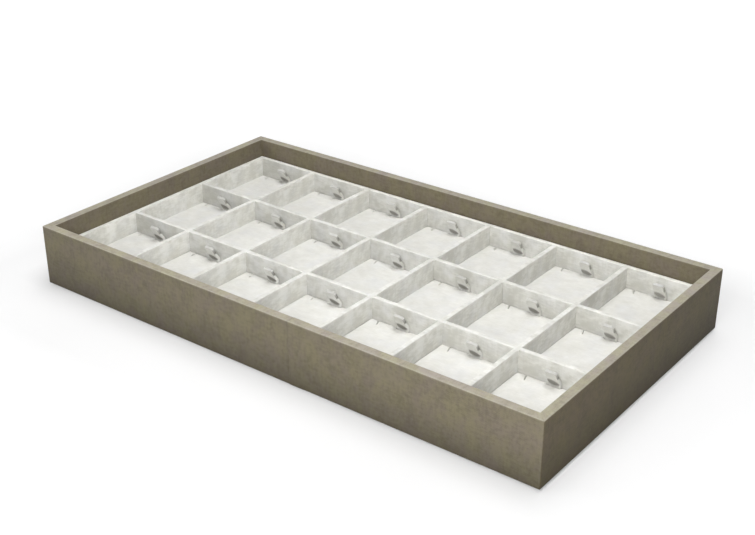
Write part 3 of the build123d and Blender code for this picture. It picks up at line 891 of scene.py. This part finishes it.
def swell(verts, faces, kind, held, seed):
    """Cloth simulation of the pad's top over its foam, at ten times size: pressure from below, the edges held."""
    hw, hd = PAD_W / 2, PAD_D / 2
    S = 10 * MM
    rnd = random.Random(seed)
    start = np.array(verts)
    off = Vector((seed * 3.7, seed * 1.3, 0))
    for n in range(len(start)):
        if kind[n] and min(hw - abs(start[n, 0]), hd - abs(start[n, 1])) > 1.0:
            q = Vector(start[n])
            start[n, 2] += 0.10 * noise.noise(q * 0.10 + off) + 0.03 * noise.noise(q * 0.5 + off)
    me = bpy.data.meshes.new("swell")
    me.from_pydata([tuple(v) for v in start * S], [], faces)
    me.update()
    o = bpy.data.objects.new("swell", me)
    bpy.context.scene.collection.objects.link(o)
    g = o.vertex_groups.new(name="hold")
    for n in range(len(start)):
        if held[n] > 0:
            g.add([n], held[n], "REPLACE")
    md = o.modifiers.new("Cloth", "CLOTH")
    st = md.settings
    st.quality = 5
    st.mass = 0.3
    st.tension_stiffness = 12
    st.compression_stiffness = 12
    st.shear_stiffness = 5
    st.bending_stiffness = 0.6
    st.use_pressure = True
    st.uniform_pressure_force = 4.0
    st.vertex_group_mass = "hold"
    st.effector_weights.gravity = 0.0
    md.collision_settings.use_collision = False
    md.collision_settings.use_self_collision = False
    md.point_cache.frame_start, md.point_cache.frame_end = 1, 20
    sc = bpy.context.scene
    for f in range(1, 21):
        sc.frame_set(f)
    dg = bpy.context.evaluated_depsgraph_get()
    ev = o.evaluated_get(dg)
    got = np.zeros(len(start) * 3)
    ev.data.vertices.foreach_get("co", got)
    got = got.reshape(-1, 3) / S
    bpy.data.objects.remove(o)
    bpy.data.meshes.remove(me)
    sc.frame_set(1)
    move = got - start
    size = np.linalg.norm(move, axis=1, keepdims=True)
    cap = 0.9
    move *= np.minimum(1.0, cap / np.maximum(size, 1e-9))
    out = start + move
    # stays in the room the pad has: soft limit below the crown's height, inside the outline
    lim = PAD_TOP - 0.02
    over = out[:, 2] - (lim - 0.35)
    soft = lim - 0.35 + 0.35 * (1 - np.exp(-np.maximum(over, 0) / 0.35))
    out[:, 2] = np.where(over > 0, soft, out[:, 2])
    out[:, 0] = np.clip(out[:, 0], -hw, hw)
    out[:, 1] = np.clip(out[:, 1], -hd, hd)
    return out, float(size.max()), float(np.median(size[kind > 0]))


pv, pf, pk, pm, ph = pad_grid()
SWELLS = []
for s in range(3):
    SWELLS.append(swell(pv, pf, pk, ph, s + 1))
print("pads: points", len(pv), "largest and middle swell, mm", [(round(a, 2), round(b, 2)) for _, a, b in SWELLS])

for r in range(ROWS):
    for c in range(COLS):
        rnd = random.Random(1000 + 10 * r + c)
        n = r * COLS + c
        v = SWELLS[n % 3][0].copy()
        f = pf
        if rnd.random() < 0.5:
            v[:, 0] *= -1
            f = [tuple(reversed(q)) for q in pf]
        off = Vector((n * 11.3, n * 4.7, 0.0))
        for i in range(len(v)):
            if pk[i]:
                q = Vector(v[i])
                e = min(PAD_W / 2 - abs(v[i, 0]), PAD_D / 2 - abs(v[i, 1]))
                soft = min(1.0, max(0.0, (e - 0.5) / 2.0))
                v[i, 2] -= soft * (0.14 * (noise.noise(q * 0.06 + off) * 0.5 + 0.5) + 0.05 * (noise.noise(q * 0.35 + off) * 0.5 + 0.5))
        x0, x1, y0, y1 = cell(c, r)
        v += np.array([(x0 + x1) / 2 + rnd.uniform(-0.06, 0.06), (y0 + y1) / 2 - rnd.uniform(0.02, 0.08), 0.0])
        # painted light: lighter in front of the hook against its shadow, along the edges against the shade where the
        # pad meets the walls, and inside the chain slits
        near = np.hypot(np.maximum(abs(pv[:, 0]) - 3.5, 0) / 5.0, np.maximum(PAD_D / 2 - NOTCH_IN - pv[:, 1], 0) / 6.0)
        shade = 1 + 0.12 * np.clip(1 - near, 0, 1) ** 1.5
        rim = np.minimum(PAD_W / 2 - abs(pv[:, 0]), PAD_D / 2 - abs(pv[:, 1]))
        shade = np.maximum(shade, 1 + 0.14 * np.clip(1 - rim / 0.9, 0, 1))
        shade[(abs(abs(pv[:, 0]) - SLIT_X) < 2.2) & (pv[:, 1] > PAD_D / 2 - SLIT_IN - 0.8) & (pv[:, 2] < 16.0)] = 1.24
        o = finish_mesh(f"pad_linen_r{r + 1}_c{c + 1}", v, f, [M_PAD, M_CARD], f"pad_r{r + 1}_c{c + 1}_body", [f"pad_r{r + 1}_c{c + 1}"], mat_index=pm, points={"tint_and_painted_light": np.repeat(shade[:, None], 3, 1)}, seed=30 + n)


# ------------------------------------------------------------- floor and light
def pale_floor():
    me = bpy.data.meshes.new("studio_floor")
    bm = bmesh.new()
    bmesh.ops.create_circle(bm, cap_ends=True, segments=96, radius=9.0)
    bm.to_mesh(me)
    bm.free()
    o = bpy.data.objects.new("studio_floor", me)
    bpy.context.scene.collection.objects.link(o)
    o.location.z = -0.00005
    t = Tree("pale_floor")
    x, y, z = t.object_coords()
    n = t.noise(t.vec(t.math("MULTIPLY", x, 3.0), t.math("MULTIPLY", y, 3.0), z), 1.0, 2.0)
    t.put(t.ramp(n, [(0.3, (0.510, 0.510, 0.512)), (0.7, (0.516, 0.516, 0.517))]), t.bsdf.inputs["Base Color"])
    t.bsdf.inputs["Roughness"].default_value = 0.9
    t.bsdf.inputs["Specular IOR Level"].default_value = 0.1
    # the floor glows, least near the tray: painted light that keeps the shadow on it soft
    t.bsdf.inputs["Emission Color"].default_value = (1.0, 1.0, 1.0, 1.0)
    dx = t.math("MAXIMUM", t.math("SUBTRACT", t.math("ABSOLUTE", x), HX * MM), 0.0)
    dy = t.math("MAXIMUM", t.math("SUBTRACT", t.math("ABSOLUTE", y), HY * MM), 0.0)
    far = t.math("SQRT", t.math("ADD", t.math("MULTIPLY", dx, dx), t.math("MULTIPLY", dy, dy)))
    far = t.math("MULTIPLY", t.math("SUBTRACT", far, 0.05), 3.3, clamp=True)
    cx, cy = t.math("SUBTRACT", x, HX * MM), t.math("ADD", y, HY * MM)
    near = t.math("SQRT", t.math("ADD", t.math("MULTIPLY", cx, cx), t.math("MULTIPLY", cy, cy)))
    near = t.math("SUBTRACT", 1.0, t.math("MULTIPLY", near, 4.0), clamp=True)
    glow = t.math("MULTIPLY_ADD", near, -0.085, 0.395)
    # painted light beside the right end, painted shadow in front and close to the left end
    tx = t.math("MULTIPLY", t.math("SUBTRACT", x, 0.150), 1 / 0.060, clamp=True)
    ty = t.math("MULTIPLY", t.math("ADD", y, 0.135), 1 / 0.070, clamp=True)
    more = t.math("MINIMUM", t.math("MULTIPLY_ADD", dx, 0.9, 0.035), 0.10)
    tb = t.math("MULTIPLY", t.math("SUBTRACT", 0.200, y), 1 / 0.100, clamp=True)
    glow = t.math("MULTIPLY_ADD", t.math("MULTIPLY", t.math("MULTIPLY", tx, ty), tb), more, glow)
    fw = t.math("MULTIPLY", t.math("SUBTRACT", HX * MM, t.math("ABSOLUTE", x)), 1 / 0.060, clamp=True)
    glow = t.math("MULTIPLY_ADD", t.math("MULTIPLY", fw, t.math("SUBTRACT", 1.0, ty)), -0.040, glow)
    lx = t.math("SUBTRACT", 1.0, t.math("MULTIPLY", t.math("ABSOLUTE", t.math("ADD", x, HX * MM)), 1 / 0.030), clamp=True)
    ly = t.math("MULTIPLY", t.math("ADD", y, 0.112), 1 / 0.020, clamp=True)
    ly = t.math("MULTIPLY", ly, t.math("MULTIPLY", t.math("SUBTRACT", 0.020, y), 1 / 0.060, clamp=True))
    glow = t.math("MULTIPLY_ADD", t.math("MULTIPLY", lx, ly), -0.19, glow)
    t.put(t.math("MULTIPLY_ADD", far, 0.62, glow), t.bsdf.inputs["Emission Strength"])
    o.visible_diffuse = False
    me.materials.append(t.mat)
    # the sweep's rise, far behind: it only closes the picture in low views
    rise, rings, turns = bpy.data.meshes.new("studio_backdrop"), 13, 96
    prof = [(8.0, -0.00005)] + [(8.0 + 1.6 * math.sin(math.radians(a)), 1.6 - 1.6 * math.cos(math.radians(a))) for a in range(9, 91, 9)] + [(9.6, 3.2), (9.6, 6.0)]
    pts = [(q * math.cos(2 * math.pi * k / turns), q * math.sin(2 * math.pi * k / turns), h) for q, h in prof for k in range(turns)]
    quads = [(j * turns + k, j * turns + (k + 1) % turns, (j + 1) * turns + (k + 1) % turns, (j + 1) * turns + k) for j in range(rings - 1) for k in range(turns)]
    rise.from_pydata(pts, [], quads)
    rise.update()
    rise.materials.append(t.mat)
    wall = bpy.data.objects.new("studio_backdrop", rise)
    bpy.context.scene.collection.objects.link(wall)
    wall.visible_diffuse = wall.visible_glossy = wall.visible_transmission = wall.visible_shadow = False
    return o


floor = pale_floor()


def area_light(name, at, to, size, energy, color=(1, 1, 1)):
    ld = bpy.data.lights.new(name, "AREA")
    ld.shape = "DISK"
    ld.size = size
    ld.energy = energy
    ld.color = color
    o = bpy.data.objects.new(name, ld)
    bpy.context.scene.collection.objects.link(o)
    o.location = at
    d = Vector(to) - Vector(at)
    o.rotation_mode = "QUATERNION"
    o.rotation_quaternion = d.to_track_quat("-Z", "Y")
    return o


LIGHTS = [
    ("front_right", (0.897, -0.897, 0.592), (0.0, 0.0, 0.0), 0.60, 1.91, (1, 1, 1)),
    ("front_left", (-0.897, -0.897, 0.592), (0.0, 0.0, 0.0), 0.60, 3.67, (1, 1, 1)),
    ("left", (-1.269, 0.0, 0.592), (0.0, 0.0, 0.0), 0.60, 1.39, (1, 1, 1)),
    ("top_right", (0.362, 0.0, 1.352), (0.0, 0.0, 0.0), 0.60, 4.87, (1, 1, 1)),
    ("top_left", (-0.362, 0.0, 1.352), (0.0, 0.0, 0.0), 0.60, 0.61, (1, 1, 1)),
    ("top_back", (0.0, 0.362, 1.352), (0.0, 0.0, 0.0), 0.60, 5.46, (1, 1, 1)),
    ("near", (0.10, -0.35, 0.45), (0.0, 0.0, 0.0), 0.30, 0.41, (1, 1, 1)),
    ("key", (0.30, -0.60, 0.45), (0.0, 0.0, 0.0), 0.30, 2.85, (1, 1, 1)),
    ("back", (-0.20, 1.35, 0.22), (0.0, 0.0, 0.02), 0.60, 2.4, (1, 1, 1)),
]
WORLD = ((1.0, 1.0, 1.0), 0.165)
for args in LIGHTS:
    area_light(*args)
world = bpy.data.worlds.new("studio")
bpy.context.scene.world = world
world.use_nodes = True
bg = world.node_tree.nodes["Background"]
bg.inputs["Color"].default_value = (*WORLD[0], 1.0)
bg.inputs["Strength"].default_value = WORLD[1]

# ------------------------------------------------------------------- camera
cam_data = bpy.data.cameras.new("photo_camera")
cam = bpy.data.objects.new("photo_camera", cam_data)
bpy.context.scene.collection.objects.link(cam)
cam_data.sensor_fit = "HORIZONTAL"
cam_data.sensor_width = 36.0
cam_data.lens = 59.951
cam_data.clip_start, cam_data.clip_end = 0.02, 60.0
right, down, fwd = (0.7935179, 0.6085469, 0.0), (0.2702959, -0.3524632, -0.8959407), (-0.5452242, 0.7109433, -0.4441736)
cam.rotation_mode = "QUATERNION"
cam.location = (0.4339994, -0.5589590, 0.3788879)
cam.rotation_quaternion = Matrix([[right[i], -down[i], -fwd[i]] for i in range(3)]).to_quaternion()
bpy.context.scene.camera = cam
bpy.context.scene.view_settings.view_transform = "Standard"
bpy.context.scene.view_settings.look = "None"
